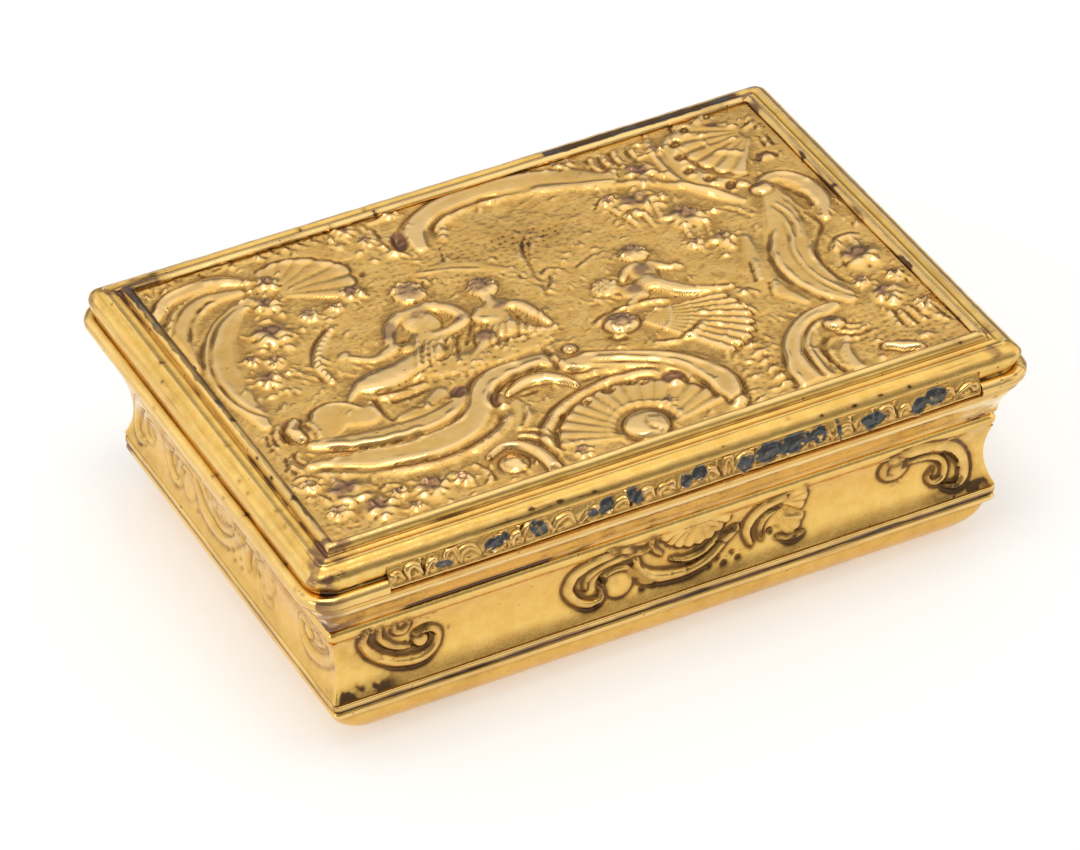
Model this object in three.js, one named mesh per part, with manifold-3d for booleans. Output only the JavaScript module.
// A gilt table snuff box with a hinged lid.
// Millimetres, +Z up, +X along the box, the thumb-piece at -Y and the hinge at +Y.
// The origin is the middle of the flat of the base, which is what the box stands on.
// Sections are drawn as [inset, height]: the inset is counted inwards from the lid's widest outline.

import * as THREE from "three";
import { mergeVertices } from "three/addons/utils/BufferGeometryUtils.js";
import Module from "manifold-3d";

const wasm = await Module();
wasm.setup();

// Driving dimensions
const LID_LENGTH = 80;
const LID_WIDTH = 57.8;
const RIM_BASE_Z = 4.2;
const WALL_BASE_Z = 6.3;
const WALL_TOP_Z = 13.6;
const BODY_TOP_Z = 15.3;
const LID_GAP = 0.3;
const BEAD_Z = 20.6;
const RIDGE_Z = 24.15;
const CREST_Z = 24.9;
const FIELD_Z = 24.4;
const SHEET = 0.8;
const BASE_INSET = 3.7;
const BASE_FLARE = 4.2;
const BEZEL_OUTER = 4.6;
const BEZEL_SHEET = 0.7;
const BEZEL_RISE = 1.8;
const LID_INNER = 4.2;
const PANEL_INSET = 4.95;
const PANEL_SHEET = 0.6;
const LEDGE_REACH = 1.6;
const LEDGE_SHEET = 0.6;
const LINER_SHEET = 0.5;
const HINGE_LENGTH = 66;
const HINGE_INSET = 2.8;
const KNUCKLES = 9;
const KNUCKLE_GAP = 0.15;
const KNUCKLE_RADIUS = 1.1;
const PIN_RADIUS = 0.45;
const PIN_CLEARANCE = 0.12;
const BEARER_SHEET = 0.34;
const SEAT_CLEARANCE = 0.06;

// Values that follow from them
const HALF_X = LID_LENGTH / 2;
const HALF_Y = LID_WIDTH / 2;
const LIP_Z = BODY_TOP_Z + LID_GAP;
const LEDGE_Z = FIELD_Z - PANEL_SHEET;
const HINGE_Y = HALF_Y - HINGE_INSET;
const HINGE_Z = BODY_TOP_Z + LID_GAP / 2;

// Solids

function toManifold(geometry) {
  const source = geometry.index ? geometry.toNonIndexed() : geometry;
  const bare = new THREE.BufferGeometry();
  bare.setAttribute("position", source.getAttribute("position"));
  const merged = mergeVertices(bare, 1e-4);
  const solid = new wasm.Manifold(
    new wasm.Mesh({
      numProp: 3,
      vertProperties: merged.attributes.position.array,
      triVerts: new Uint32Array(merged.index.array),
    }),
  );
  return solid;
}

function toGeometry(solid) {
  const mesh = solid.getMesh();
  const position = new Float32Array(mesh.numVert * 3);
  for (let i = 0; i < mesh.numVert; i++) {
    position.set(mesh.vertProperties.subarray(i * mesh.numProp, i * mesh.numProp + 3), i * 3);
  }
  const geometry = new THREE.BufferGeometry();
  geometry.setAttribute("position", new THREE.BufferAttribute(position, 3));
  geometry.setIndex(new THREE.BufferAttribute(mesh.triVerts, 1));
  return geometry;
}

// A closed skin through a row of sections, each a closed ring of points, with its two ends capped.
// The caps are cut from the 2-D outlines given for the first and the last ring.
function loft(rings, firstOutline, lastOutline = firstOutline) {
  const count = rings[0].length;
  const triangles = [];
  for (let r = 0; r + 1 < rings.length; r++) {
    for (let k = 0; k < count; k++) {
      const next = (k + 1) % count;
      const [a, b, c, d] = [rings[r][k], rings[r][next], rings[r + 1][next], rings[r + 1][k]];
      triangles.push(a, b, c, a, c, d);
    }
  }
  const cap = (ring, outline, turned) => {
    for (const [p, q, s] of THREE.ShapeUtils.triangulateShape(outline, [])) {
      triangles.push(ring[p], ring[turned ? s : q], ring[turned ? q : s]);
    }
  };
  const area = Math.sign(THREE.ShapeUtils.area(firstOutline));
  cap(rings[0], firstOutline, area > 0);
  cap(rings.at(-1), lastOutline, area < 0);
  const geometry = new THREE.BufferGeometry().setFromPoints(triangles);
  return outward(geometry);
}

// Turns every face of a closed geometry round where it faces inwards.
function outward(geometry) {
  const p = geometry.attributes.position;
  const [a, b, c] = [new THREE.Vector3(), new THREE.Vector3(), new THREE.Vector3()];
  let volume = 0;
  for (let i = 0; i < p.count; i += 3) {
    a.fromBufferAttribute(p, i);
    b.fromBufferAttribute(p, i + 1);
    c.fromBufferAttribute(p, i + 2);
    volume += a.dot(b.cross(c));
  }
  if (volume < 0) {
    for (let i = 0; i < p.count; i += 3) {
      b.fromBufferAttribute(p, i + 1);
      c.fromBufferAttribute(p, i + 2);
      p.setXYZ(i + 1, c.x, c.y, c.z);
      p.setXYZ(i + 2, b.x, b.y, b.z);
    }
  }
  return geometry;
}

function box(x0, x1, y0, y1, z0, z1) {
  const geometry = new THREE.BoxGeometry(x1 - x0, y1 - y0, z1 - z0);
  geometry.translate((x0 + x1) / 2, (y0 + y1) / 2, (z0 + z1) / 2);
  return geometry;
}

// A turned ring or rod about the hinge's line, from x0 to x1.
function turned(outer, inner, x0, x1, sides) {
  const profile = [
    [inner, x0],
    [outer, x0],
    [outer, x1],
    [inner, x1],
  ].map(([r, x]) => new THREE.Vector2(r, x));
  if (inner > 0) profile.push(profile[0].clone());
  const geometry = new THREE.LatheGeometry(profile, sides);
  geometry.rotateZ(-Math.PI / 2);
  geometry.translate(0, HINGE_Y, HINGE_Z);
  return outward(geometry.toNonIndexed());
}

// Points along an arc of a section, from one angle to another in degrees, both ends included.
function arc(cx, cy, radius, from, to, steps) {
  return Array.from({ length: steps + 1 }, (_, k) => {
    const t = THREE.MathUtils.degToRad(from + ((to - from) * k) / steps);
    return [cx + radius * Math.cos(t), cy + radius * Math.sin(t)];
  });
}

// Mitred strips: the four sides of the box are the same section run along each side

const SIDES = {
  front: { out: [0, -1], along: [1, 0], length: HALF_X, depth: HALF_Y },
  right: { out: [1, 0], along: [0, 1], length: HALF_Y, depth: HALF_X },
  back: { out: [0, 1], along: [-1, 0], length: HALF_X, depth: HALF_Y },
  left: { out: [-1, 0], along: [0, -1], length: HALF_Y, depth: HALF_X },
};

// A section point that sits on a rounded corner follows an eighth of a circle up to each mitre.
function strip(side, section, cornerRadius, cornerSteps) {
  const { out, along, length, depth } = SIDES[side];
  const turns = [];
  for (const end of [-1, 1]) {
    for (let k = 0; k <= cornerSteps; k++) {
      const share = end < 0 ? k / cornerSteps - 1 : k / cornerSteps;
      turns.push([end, (share * Math.PI) / 4]);
    }
  }
  const rings = turns.map(([end, angle]) =>
    section.map(([inset, z]) => {
      const r = cornerRadius(inset, z);
      const s = end * (length - inset - r) + r * Math.sin(angle);
      const d = depth - inset - r + r * Math.cos(angle);
      return new THREE.Vector3(along[0] * s + out[0] * d, along[1] * s + out[1] * d, z);
    }),
  );
  return loft(
    rings,
    section.map(([inset, z]) => new THREE.Vector2(inset, z)),
  );
}

const eased = (value, from, to) => THREE.MathUtils.smoothstep(value, from, to);

// Corner radii: the lid's bead is well rounded, its lip and inner faces are nearly square
function lidCorner(inset, z) {
  const towardsBead = eased(z, LIP_Z - 1, BEAD_Z - 1) * (1 - eased(z, BEAD_Z, RIDGE_Z));
  const outside = 1 - eased(inset, 2.2, 3.4);
  return 0.3 + outside * (0.5 + 2.7 * towardsBead);
}

function rimCorner(inset) {
  return 0.2 + 0.6 * (1 - eased(inset, 3.4, 4.4));
}

const squareCorner = () => 0.15;

// Lid mouldings

// The lid's moulding, from the lip up over the bead and the two ridges, and down into the rebate.
function lidSection() {
  const beadCentre = [0.85, BEAD_Z + 0.1];
  const lowerBand = [
    [2.9, LIP_Z],
    [2.72, 16.1],
    [2.3, 16.85],
    [1.75, 17.65],
    [1.25, 18.35],
    [0.95, 18.9],
    [0.85, 19.3],
    [0.45, 19.55],
    [0.4, 19.9],
  ];
  const bead = arc(...beadCentre, 0.85, 218, 90, 6);
  const groove = [
    [1.05, 21.5],
    [1.15, 21.7],
    [0.95, 21.95],
  ];
  const ovolo = arc(2.25, 22.55, 1.35, 190, 102, 4);
  const ridges = [
    [2.3, RIDGE_Z - 0.1],
    [2.4, RIDGE_Z + 0.05],
    [2.65, RIDGE_Z],
    [3.0, RIDGE_Z - 0.05],
    [3.5, RIDGE_Z + 0.2],
    [4.05, CREST_Z - 0.15],
    [4.4, CREST_Z],
    [4.7, CREST_Z - 0.1],
    [PANEL_INSET - 0.05, FIELD_Z],
  ];
  const rebate = [
    [PANEL_INSET - 0.05, LEDGE_Z],
    [PANEL_INSET + LEDGE_REACH, LEDGE_Z],
    [PANEL_INSET + LEDGE_REACH, LEDGE_Z - LEDGE_SHEET],
    [LID_INNER, LEDGE_Z - LEDGE_SHEET],
    [LID_INNER, LIP_Z],
  ];
  return [...lowerBand, ...bead, ...groove, ...ovolo, ...ridges, ...rebate];
}

// The sunk seat along the front bead that the thumb-piece is fixed in.
const THUMB = { x0: -31.5, x1: 33.5, z0: 20.35, z1: 22.75, seatInset: 1.3, play: 0.05 };

function thumbSeat() {
  const y = -(HALF_Y - THUMB.seatInset);
  return toManifold(box(THUMB.x0, THUMB.x1, y - 2, y, THUMB.z0, THUMB.z1));
}

function hingeCove() {
  const reach = HINGE_LENGTH / 2 + KNUCKLE_GAP;
  const radius = KNUCKLE_RADIUS + SEAT_CLEARANCE * 2 + BEARER_SHEET + 0.02;
  return toManifold(turned(radius, 0, -reach, reach, 24));
}

function lidFrame(side) {
  const bar = strip(side, lidSection(), lidCorner, 3);
  if (side === "front") return toGeometry(toManifold(bar).subtract(thumbSeat()));
  if (side === "back") return toGeometry(toManifold(bar).subtract(hingeCove()));
  return bar;
}

// Body mouldings and walls

function topMoulding(side) {
  const torus = arc(3.75, 14.45, 0.8, 232, 118, 6);
  const section = [
    [3.35, WALL_TOP_Z],
    ...torus,
    [3.5, BODY_TOP_Z],
    [BEZEL_OUTER, BODY_TOP_Z],
    [BEZEL_OUTER, WALL_TOP_Z],
  ];
  const bar = strip(side, section, rimCorner, 2);
  if (side === "back") return toGeometry(toManifold(bar).subtract(hingeCove()));
  return bar;
}

// The hollow sweep of the walls: how far the outside is inset at a height.
const WAIST = { inset: 4.02, z: 9.9, bottom: 3.15, top: 3.3 };

function wallInset(z) {
  const below = z < WAIST.z;
  const end = below ? WALL_BASE_Z : WALL_TOP_Z;
  const share = (z - WAIST.z) / (end - WAIST.z);
  const edge = below ? WAIST.bottom : WAIST.top;
  return WAIST.inset - (WAIST.inset - edge) * share ** 2;
}

function wall(side) {
  const levels = Array.from({ length: 9 }, (_, k) => WALL_BASE_Z + ((WALL_TOP_Z - WALL_BASE_Z) * k) / 8);
  const outside = levels.map((z) => [wallInset(z), z]);
  const inside = levels.map((z) => [wallInset(z) + SHEET, z]).reverse();
  const plain = strip(side, [...outside, ...inside], squareCorner, 1);
  return chased(plain, wallOrnament(side), wallBounds());
}

// The ornament of the four sides: a cartouche in the middle and a scroll towards each corner.
// It is drawn as [distance along the side, height], between the rim and the torus.

function wallBounds() {
  return box(-HALF_X, HALF_X, -HALF_Y, HALF_Y, WALL_BASE_Z + 0.3, WALL_TOP_Z - 0.15);
}

const FINE = { spacing: 1.6, facets: 3 };

function endScroll(u, flip, place) {
  const at = (points) => points.map(([a, z]) => [u + flip * a, z]);
  const outer = [[-6, 13.4], [-5.2, 10.5], [-1.6, 8.4], [1.7, 9.3], [0.9, 11.5]];
  return [ridge(at(outer), [0.9, 1.4, 1.4, 1.3, 0.6], 0.5, place, FINE)];
}

function leafScroll(u, flip, place) {
  const at = (points) => points.map(([a, z]) => [u + flip * a, z]);
  const outer = [[-4.4, 13.3], [-1.6, 13.2], [1, 12.7], [3.3, 9.8], [2.1, 7.8], [0.9, 7.9]];
  return [
    ridge(at(outer), [0.9, 1.4, 1.6, 1.5, 1.2, 0.7], 0.5, place, FINE),
    dome([u - flip * 5.4, 11.9], 1.5, 1.2, 0.4, place),
  ];
}

function cartouche(u, flip, place) {
  const at = (points) => points.map(([a, z]) => [u + flip * a, z]);
  const left = [[-7.4, 13.2], [-11.8, 11.8], [-11.5, 8.5], [-8.9, 8.4]];
  const crescent = [[-5, 11.4], [-3.2, 8.6], [1.2, 8.1], [4.8, 10], [6.2, 11.1]];
  return [
    ridge(at(left), [0.7, 1.5, 1.5, 0.7], 0.5, place, FINE),
    ridge(at(crescent), [0.8, 1.5, 1.2, 1.3, 0.9], 0.52, place, FINE),
    ridge(at([[7.6, 8.8], [7.8, 11.2], [11.4, 13]]), [0.8, 1.2, 0.7], 0.5, place, FINE),
    dome([u + flip * 1.2, 12], 3.4, 1.3, 0.36, place),
  ];
}

// Where each side has its three ornaments, and which way round: [distance along, 1 or -1 where reversed].
const WALL_LAYOUT = {
  front: { end: [-27.1, 1], middle: [1.5, 1], leaf: [30.4, 1] },
  right: { end: [-18.6, 1], middle: [2.2, 1], leaf: [19.3, 1] },
  back: { end: [-27.1, 1], middle: [-1.5, -1], leaf: [30.4, 1] },
  left: { end: [18.6, -1], middle: [-3.4, 1], leaf: [-19.3, -1] },
};

function wallOrnament(side) {
  const { out, along, depth } = SIDES[side];
  const place = ([u, z], lift) => {
    const d = depth - wallInset(z) + lift;
    return new THREE.Vector3(along[0] * u + out[0] * d, along[1] * u + out[1] * d, z);
  };
  const { end, middle, leaf } = WALL_LAYOUT[side];
  return [...endScroll(...end, place), ...cartouche(...middle, place), ...leafScroll(...leaf, place)];
}

function rimMoulding(side) {
  const section = [
    [3.25, WALL_BASE_Z],
    [3.3, 6.1],
    [3.02, 5.98],
    [3.0, 5.5],
    [3.28, 5.38],
    [3.28, 5.2],
    ...arc(3.5, 4.76, 0.48, 130, 250, 5),
    [3.6, RIM_BASE_Z],
    [BEZEL_OUTER, RIM_BASE_Z],
    [BEZEL_OUTER, WALL_BASE_Z],
  ];
  return strip(side, section, rimCorner, 2);
}

function bezel(side) {
  const inner = BEZEL_OUTER + BEZEL_SHEET;
  const top = BODY_TOP_Z + BEZEL_RISE;
  const section = [
    [BEZEL_OUTER, WALL_TOP_Z],
    [BEZEL_OUTER, top - 0.2],
    [BEZEL_OUTER + 0.15, top],
    [inner - 0.15, top],
    [inner, top - 0.2],
    [inner, WALL_TOP_Z],
  ];
  return strip(side, section, squareCorner, 1);
}

// Chased relief: half-round ridges and domes that rise from a sheet and are rooted in it

const ROOT = 0.25;

// A ridge that follows the points, with a width and a height, each a number or a list along it.
// `place` puts [a, b] on the sheet's surface, lifted off it. `facets` is how many round its top.
function ridge(points, width, height, place, { spacing = 2.2, facets = 4 } = {}) {
  const flat = points.map(([a, b]) => new THREE.Vector3(a, b, 0));
  const path = new THREE.CatmullRomCurve3(flat, false, "centripetal");
  const steps = Math.max(3, Math.ceil(path.getLength() / spacing));
  const along = (list, t) => {
    if (!Array.isArray(list)) return list;
    const at = t * (list.length - 1);
    const k = Math.min(Math.floor(at), list.length - 2);
    return THREE.MathUtils.lerp(list[k], list[k + 1], at - k);
  };
  const rings = [];
  for (let k = 0; k <= steps; k++) {
    const t = k / steps;
    const middle = path.getPointAt(t);
    const tangent = path.getTangentAt(t);
    const half = along(width, t) / 2;
    const tall = along(height, t);
    const across = (share, lift) => {
      const offset = half * share;
      return place([middle.x - tangent.y * offset, middle.y + tangent.x * offset], lift);
    };
    const top = arc(0, 0, 1, 0, 180, facets).map(([c, s]) => across(c, tall * s));
    rings.push([across(1, -ROOT), ...top, across(-1, -ROOT)]);
  }
  const section = [[1, -1], ...arc(0, 0, 1, 0, 180, facets), [-1, -1]];
  return loft(
    rings,
    section.map(([a, b]) => new THREE.Vector2(a, b)),
  );
}

// A half-ellipsoid of radii rx and ry, turned by `turn` degrees.
function dome([x, y], rx, ry, height, place, turn = 0) {
  const sides = 8;
  const levels = [[1, -ROOT], ...arc(0, 0, 1, 0, 50, 1).map(([c, s]) => [c, height * s]), [0.2, height]];
  const centre = new THREE.Vector2(x, y);
  const rings = levels.map(([share, lift]) =>
    Array.from({ length: sides }, (_, k) => {
      const t = (k / sides) * 2 * Math.PI;
      const point = new THREE.Vector2(share * rx * Math.cos(t), share * ry * Math.sin(t)).add(centre);
      return place(point.rotateAround(centre, THREE.MathUtils.degToRad(turn)).toArray(), lift);
    }),
  );
  const outline = arc(0, 0, 1, 0, 360 - 360 / sides, sides - 1).map(([c, s]) => new THREE.Vector2(c, s));
  return loft(rings, outline);
}

// A shell: flutes that spread from a point between two angles in degrees, from one radius to another.
function shell([x, y], inner, outer, from, to, flutes, height, place) {
  const step = (to - from) / flutes;
  const overlap = 1.03;
  const opening = 2 * overlap * Math.sin(THREE.MathUtils.degToRad(step / 2));
  const middle = (inner + outer) / 2;
  const shoulder = 0.96 * outer;
  const heights = [0.45, 0.8, 1, 0.4].map((share) => share * height);
  return Array.from({ length: flutes }, (_, k) => {
    const t = THREE.MathUtils.degToRad(from + (k + 0.5) * step);
    const at = (radius) => [x + radius * Math.cos(t), y + radius * Math.sin(t)];
    const path = [inner, middle, shoulder, outer].map(at);
    const widths = [inner, middle, shoulder, 0.6 * outer].map((radius) => radius * opening);
    return ridge(path, widths, heights, place, { spacing: 4 });
  });
}

// Joins the relief to its sheet, cut off where it would leave the bounds.
function chased(sheet, forms, bounds) {
  const relief = wasm.Manifold.union(forms.map(toManifold)).intersect(toManifold(bounds));
  return toGeometry(toManifold(sheet).add(relief));
}

// Base: a shallow pan, quarter-elliptic all round, with a flat that the box stands on

function roundedRing(inset, z, radius, steps = 5) {
  const a = HALF_X - inset - radius;
  const b = HALF_Y - inset - radius;
  const centres = [
    [a, b, 0],
    [-a, b, 90],
    [-a, -b, 180],
    [a, -b, 270],
  ];
  const outline = centres.flatMap(([x, y, from]) => arc(x, y, radius, from, from + 90, steps));
  return {
    outline: outline.map(([x, y]) => new THREE.Vector2(x, y)),
    ring: outline.map(([x, y]) => new THREE.Vector3(x, y, z)),
  };
}

function basePlate() {
  const steps = 6;
  const rings = [];
  const quarter = (sheet) => (k) => {
    const t = (k / steps) * (Math.PI / 2);
    const flare = BASE_FLARE - sheet;
    const inset = BASE_INSET + sheet + flare * (1 - Math.cos(t));
    const z = RIM_BASE_Z - (RIM_BASE_Z - sheet) * Math.sin(t);
    return roundedRing(inset, z, 0.9 + 2.2 * Math.sin(t));
  };
  for (let k = steps; k >= 0; k--) rings.push(quarter(SHEET)(k));
  for (let k = 0; k <= steps; k++) rings.push(quarter(0)(k));
  return loft(
    rings.map((r) => r.ring),
    rings[0].outline,
    rings.at(-1).outline,
  );
}

// Hinge: nine knuckles on one pin, seated in a bearer on the body and one on the lid

function knuckleSpan(k) {
  const length = (HINGE_LENGTH - KNUCKLE_GAP * (KNUCKLES - 1)) / KNUCKLES;
  const x0 = -HINGE_LENGTH / 2 + k * (length + KNUCKLE_GAP);
  return [x0, x0 + length];
}

function knuckle(k) {
  return turned(KNUCKLE_RADIUS, PIN_RADIUS + PIN_CLEARANCE, ...knuckleSpan(k), 20);
}

function hingePin() {
  return turned(PIN_RADIUS, 0, -HINGE_LENGTH / 2, HINGE_LENGTH / 2, 12);
}

// A channel round the knuckles, between two angles counted from +Y towards +Z.
function bearer(from, to) {
  const inner = KNUCKLE_RADIUS + SEAT_CLEARANCE;
  const shape = new THREE.Shape();
  const edge = [...arc(0, 0, inner, from, to, 8), ...arc(0, 0, inner + BEARER_SHEET, to, from, 8)];
  shape.setFromPoints(edge.map(([y, z]) => new THREE.Vector2(y, z)));
  const geometry = new THREE.ExtrudeGeometry(shape, { depth: HINGE_LENGTH, bevelEnabled: false });
  const turn = new THREE.Matrix4().makeBasis(
    new THREE.Vector3(0, 1, 0),
    new THREE.Vector3(0, 0, 1),
    new THREE.Vector3(1, 0, 0),
  );
  geometry.applyMatrix4(turn);
  geometry.translate(-HINGE_LENGTH / 2, HINGE_Y, HINGE_Z);
  return outward(geometry);
}

// The lid's chasing, drawn on its plan as [x, y] from its centre

const onLid = ([x, y], lift) => new THREE.Vector3(x, y, FIELD_Z + lift);
const sweep = (points, width, height, detail) => ridge(points, width, height, onLid, detail);
const boss = (x, y, rx, ry, height, turn) => dome([x, y], rx, ry, height, onLid, turn);

// The C-scrolls that frame the field: up the left side, along the top and down the right side.
function framingScrolls() {
  return [
    sweep([[-34.2, 17.6], [-32, 21], [-29, 21.5], [-24.8, 19.8]], [1, 2, 2.1, 0.8], 0.46),
    sweep([[-34.4, 7.5], [-32.7, 14], [-28.2, 17.4], [-25.8, 17.6]], [1.4, 2.9, 2.5, 1.2], 0.5),
    sweep([[-32.3, -2.2], [-32.9, 4.5], [-30.7, 11], [-26.6, 15.3]], [1.2, 2.8, 2.5, 0.9], 0.48),
    sweep([[-8.3, 21.9], [-9.7, 18.6], [-8.4, 16.6]], [0.4, 1.1, 0.8], 0.5),
    sweep([[-6.9, 17.6], [-4.2, 21.4], [3.5, 22.4], [10.2, 21.4], [16.2, 17.4]], [1.6, 3.2, 3.5, 1.6], 0.52),
    sweep([[23.2, 22.8], [22.2, 16.6], [25.9, 8.4]], [0.6, 1.1, 0.6], 0.55),
    sweep([[27.4, 22.6], [23.7, 17.6], [28.3, 10.4]], [0.6, 1.9, 0.6], 0.4),
    sweep([[29.2, 10.8], [32.8, 9.9], [34, 5.2], [32.6, 0.6]], [0.8, 1.7, 1.7, 0.5], 0.55),
    sweep([[30.1, 7.4], [29.4, 2.2], [26.8, -5], [28.6, -12.2]], [0.8, 2.6, 2.2, 1], 0.5),
    sweep([[28.3, 5.6], [25.4, -2.6], [24.9, -9], [27.6, -13.5]], [0.6, 1.9, 1.8, 0.8], 0.46),
    sweep([[23.7, 2.2], [22.1, -4.8], [23, -11.2]], [0.8, 2, 0.9], 0.3),
    sweep([[25.6, -12.7], [20.3, -14.7], [17.5, -20], [17.4, -23.7]], [0.7, 2.1, 2.6, 2.6], 0.56),
    sweep([[23.9, -14.4], [20.6, -17.6], [19.9, -23.7]], [0.6, 1.5, 1.6], 0.46),
    sweep([[26.4, -21.4], [28.2, -22.2], [30.4, -22.9]], [0.8, 1.6, 0.9], 0.5),
    boss(29, 8.8, 1.15, 1.15, 0.6),
    boss(24.1, -15.9, 1.15, 1.15, 0.6),
  ];
}

// The scrolls under the group, which cross in the middle and close round the lower shell.
function lowerScrolls() {
  return [
    sweep([[-29.7, -8], [-24, -11], [-17, -11], [-13.2, -7.7]], [0.8, 2.1, 2, 0.8], 0.48),
    sweep([[-31.6, -11.6], [-24.2, -14.2], [-16.4, -13.9], [-12, -9.7], [-3.7, -7.2]], [1, 3.4, 2.3], 0.55),
    sweep(
      [[-31.6, -13.4], [-24.8, -16.5], [-18, -17.3], [-12.5, -14.9], [-10.6, -11.6]],
      [0.5, 1.4, 0.9],
      0.5,
    ),
    sweep([[-9.6, -10.2], [-5.2, -9.7], [-3.2, -12.2]], [0.5, 1.7, 0.5], 0.45),
    sweep([[-15.8, -18.7], [-12.7, -18.7], [-11.3, -23.7]], [0.5, 1.3, 1.3], 0.6),
    sweep([[-2.9, -8], [4.2, -11.5], [9.1, -15.1], [9.8, -22.3]], [1.3, 2.4, 3.3, 1.2], 0.54),
    sweep([[-2.8, -10.4], [2, -12], [6, -13.9]], [0.8, 1.4, 0.5], 0.5),
    sweep(arc(-0.4, -23.4, 9.8, 154, 52, 4), [0.6, 1.4, 1.4, 1.2, 0.5], 0.52),
    boss(-10.7, -11.6, 0.85, 0.85, 0.6),
    boss(-0.2, -21.7, 2.35, 2.35, 0.75),
    boss(-25.8, -6.6, 3.5, 3, 0.3),
    boss(-30.3, -5.6, 1.1, 1.8, 0.6),
  ];
}

function shells() {
  return [
    ...shell([-20.5, 13.5], 1.6, 8.1, 16, 128, 6, 0.42, onLid),
    ...shell([33.2, 19], 1.4, 8.5, 128, 238, 6, 0.42, onLid),
    ...shell([-0.4, -23.4], 2.6, 8.6, 20, 160, 7, 0.26, onLid),
    ...shell([6.4, -4.4], 2.4, 12.6, -60, -10, 6, 0.4, onLid),
  ];
}

function flowers() {
  const places = [
    [-22.8, 18, 1.4],
    [-24.2, 14.7, 1.5],
    [-25.9, 9.9, 1.9],
    [-27.5, 5.6, 1.2],
    [-29.4, 2.9, 1.4],
    [19.4, 17.5, 1.6],
    [16.7, 12.9, 1.7],
    [19.9, 8.2, 1.9],
    [32.1, -6.7, 1.9],
    [31.2, -14, 1.6],
    [-30.3, -17.4, 1.9],
    [-28.6, -21.4, 1.7],
    [-22.9, -20.9, 1.8],
    [-14.4, -21, 1.5],
  ];
  return places.map(([x, y, radius]) => boss(x, y, radius, radius, 0.45));
}

// Four small children at play: heads, bodies, arms and legs as plain rounded forms.
function children() {
  return [
    boss(-11, 10.2, 1.85, 1.95, 0.8),
    boss(-12.2, 4.9, 2.2, 3.5, 0.7, 8),
    sweep([[-13.2, -0.8], [-18.6, -2.9], [-23, -3.4]], [2.7, 2.5, 0.8], [0.72, 0.7, 0.3]),
    sweep([[-14, 0.4], [-19.4, 1.5], [-21.9, 3.2]], [2.3, 1.3, 0.7], [0.55, 0.45, 0.3]),
    sweep([[-10.2, 6.9], [-8.2, 3.6], [-12, 1.3]], [1.5, 1.2, 0.8], 0.7),
    boss(-4.1, 7.3, 1.6, 1.7, 0.75),
    boss(-4.9, 2.2, 1.7, 2.7, 0.6, 12),
    sweep([[-6.2, -0.4], [-7.6, -1.3], [-9, -2.4]], [1.9, 2, 1.2], 0.55),
    sweep([[-4.1, 4.2], [-1.7, 1.1], [-1.2, -1.4]], [1.3, 1.2, 0.8], 0.65),
    boss(6.9, 1, 1.45, 1.45, 0.55),
    boss(12.2, 5, 1.55, 1.6, 0.75),
    boss(11.3, 1.9, 1.6, 2.5, 0.68, -12),
    sweep([[10.6, 0.6], [12.4, -2.2], [17.8, -5.3]], [2.3, 2, 0.8], [0.7, 0.72, 0.35]),
    boss(5.6, -5.2, 1.9, 1.75, 0.62),
    sweep([[-16.2, -3.2], [-8.6, -4.3], [-0.6, -2.6]], [0.8, 2.3, 0.6], 0.28),
  ];
}

// Lid panel, lining and thumb-piece

function lidPanel() {
  const { outline } = roundedRing(PANEL_INSET, LEDGE_Z, 0.3, 2);
  const plate = new THREE.ExtrudeGeometry(new THREE.Shape(outline), {
    depth: PANEL_SHEET,
    bevelEnabled: false,
  });
  plate.translate(0, 0, LEDGE_Z);
  const edge = 0.1;
  const [x, y] = [HALF_X - PANEL_INSET - edge, HALF_Y - PANEL_INSET - edge];
  const forms = [...framingScrolls(), ...lowerScrolls(), ...shells(), ...flowers(), ...children()];
  return chased(plate, forms, box(-x, x, -y, y, LEDGE_Z + 0.1, FIELD_Z + 1));
}

function lidLiner() {
  const top = LEDGE_Z - LEDGE_SHEET;
  const { outline } = roundedRing(LID_INNER + 0.1, top, 0.4, 2);
  const plate = new THREE.ExtrudeGeometry(new THREE.Shape(outline), {
    depth: LINER_SHEET,
    bevelEnabled: false,
  });
  plate.translate(0, 0, top - LINER_SHEET);
  return plate;
}

// The strip let into the front bead: it follows the bead below and leans back with the ovolo above.
// `swell` runs from 0 in the hollows between its lobes to 1 on them.
function thumbSection(play, swell) {
  const { z0, z1, seatInset } = THUMB;
  const hollow = 0.22 * (1 - swell);
  return [
    [seatInset - 0.01, z0 + play],
    [0.3, z0 + play],
    [0.1 + hollow, z0 + 0.4],
    [0.12 + hollow, z0 + 0.8],
    [0.4 + hollow, z0 + 1.6],
    [0.75, z1 - 0.15],
    [0.85, z1 - play],
    [seatInset - 0.01, z1 - play],
  ];
}

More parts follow.
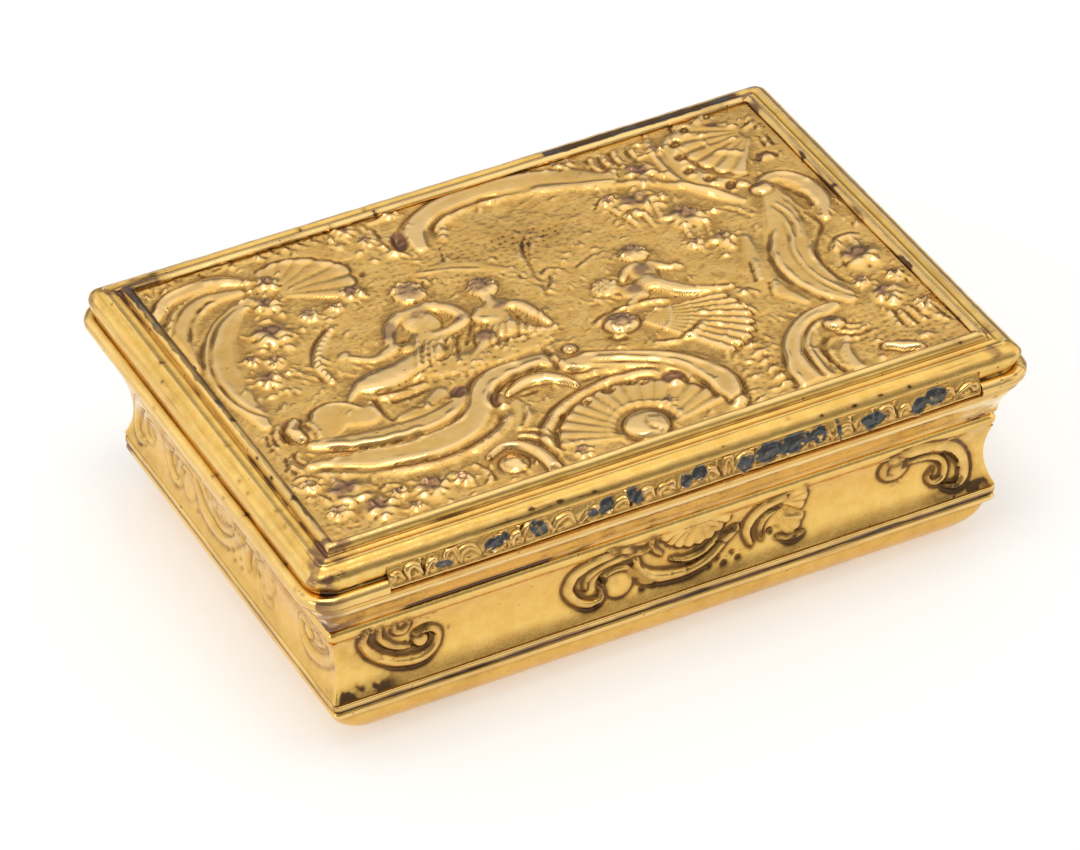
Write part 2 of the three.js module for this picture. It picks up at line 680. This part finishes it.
// Lobes about 6 mm long with short ones between them, flat at both ends.
function thumbPiece() {
  const [first, last] = [THUMB.x0 + THUMB.play, THUMB.x1 - THUMB.play];
  const steps = 40;
  const sections = Array.from({ length: steps + 1 }, (_, k) => {
    const x = THREE.MathUtils.lerp(first, last, k / steps);
    const lobes = Math.abs(Math.cos((Math.PI * x) / 6.2)) ** 0.6;
    const ends = Math.min(1, Math.min(x - first, last - x) / 1.5);
    return [x, thumbSection(THUMB.play, lobes * ends)];
  });
  const ring = (x, section) => section.map(([inset, z]) => new THREE.Vector3(x, inset - HALF_Y, z));
  const rings = sections.map(([x, section]) => ring(x, section));
  const outlines = sections.map(([, section]) => section.map(([inset, z]) => new THREE.Vector2(inset, z)));
  return loft(rings, outlines[0], outlines.at(-1));
}

// The assembly

const GILT = { color: 0xd8a646, roughness: 0.3, metalness: 1 };
const CHASED_GILT = { color: 0xcf9d40, roughness: 0.42, metalness: 1 };
const INNER_GILT = { color: 0xe0b458, roughness: 0.25, metalness: 1 };
const BRASS_WIRE = { color: 0x997a4d, roughness: 0.35, metalness: 1 };

const group = new THREE.Group();

function add(name, geometry, finish) {
  const mesh = new THREE.Mesh(geometry, new THREE.MeshStandardMaterial(finish));
  mesh.name = name;
  group.add(mesh);
}

add("base_plate", basePlate(), GILT);
for (const side of Object.keys(SIDES)) {
  add(`rim_moulding_${side}`, rimMoulding(side), GILT);
  add(`${side}_wall`, wall(side), CHASED_GILT);
  add(`top_moulding_${side}`, topMoulding(side), GILT);
  add(`bezel_${side}`, bezel(side), INNER_GILT);
  add(`lid_frame_${side}`, lidFrame(side), GILT);
}
add("lid_panel", lidPanel(), CHASED_GILT);
add("lid_liner", lidLiner(), INNER_GILT);
add("thumb_piece", thumbPiece(), CHASED_GILT);
add("body_hinge_bearer", bearer(183, 300), GILT);
add("lid_hinge_bearer", bearer(62, 177), GILT);
add("hinge_pin", hingePin(), BRASS_WIRE);
for (let k = 0; k < KNUCKLES; k++) {
  const owner = k % 2 === 0 ? "body" : "lid";
  add(`${owner}_knuckle_${Math.floor(k / 2) + 1}`, knuckle(k), GILT);
}

export default group;
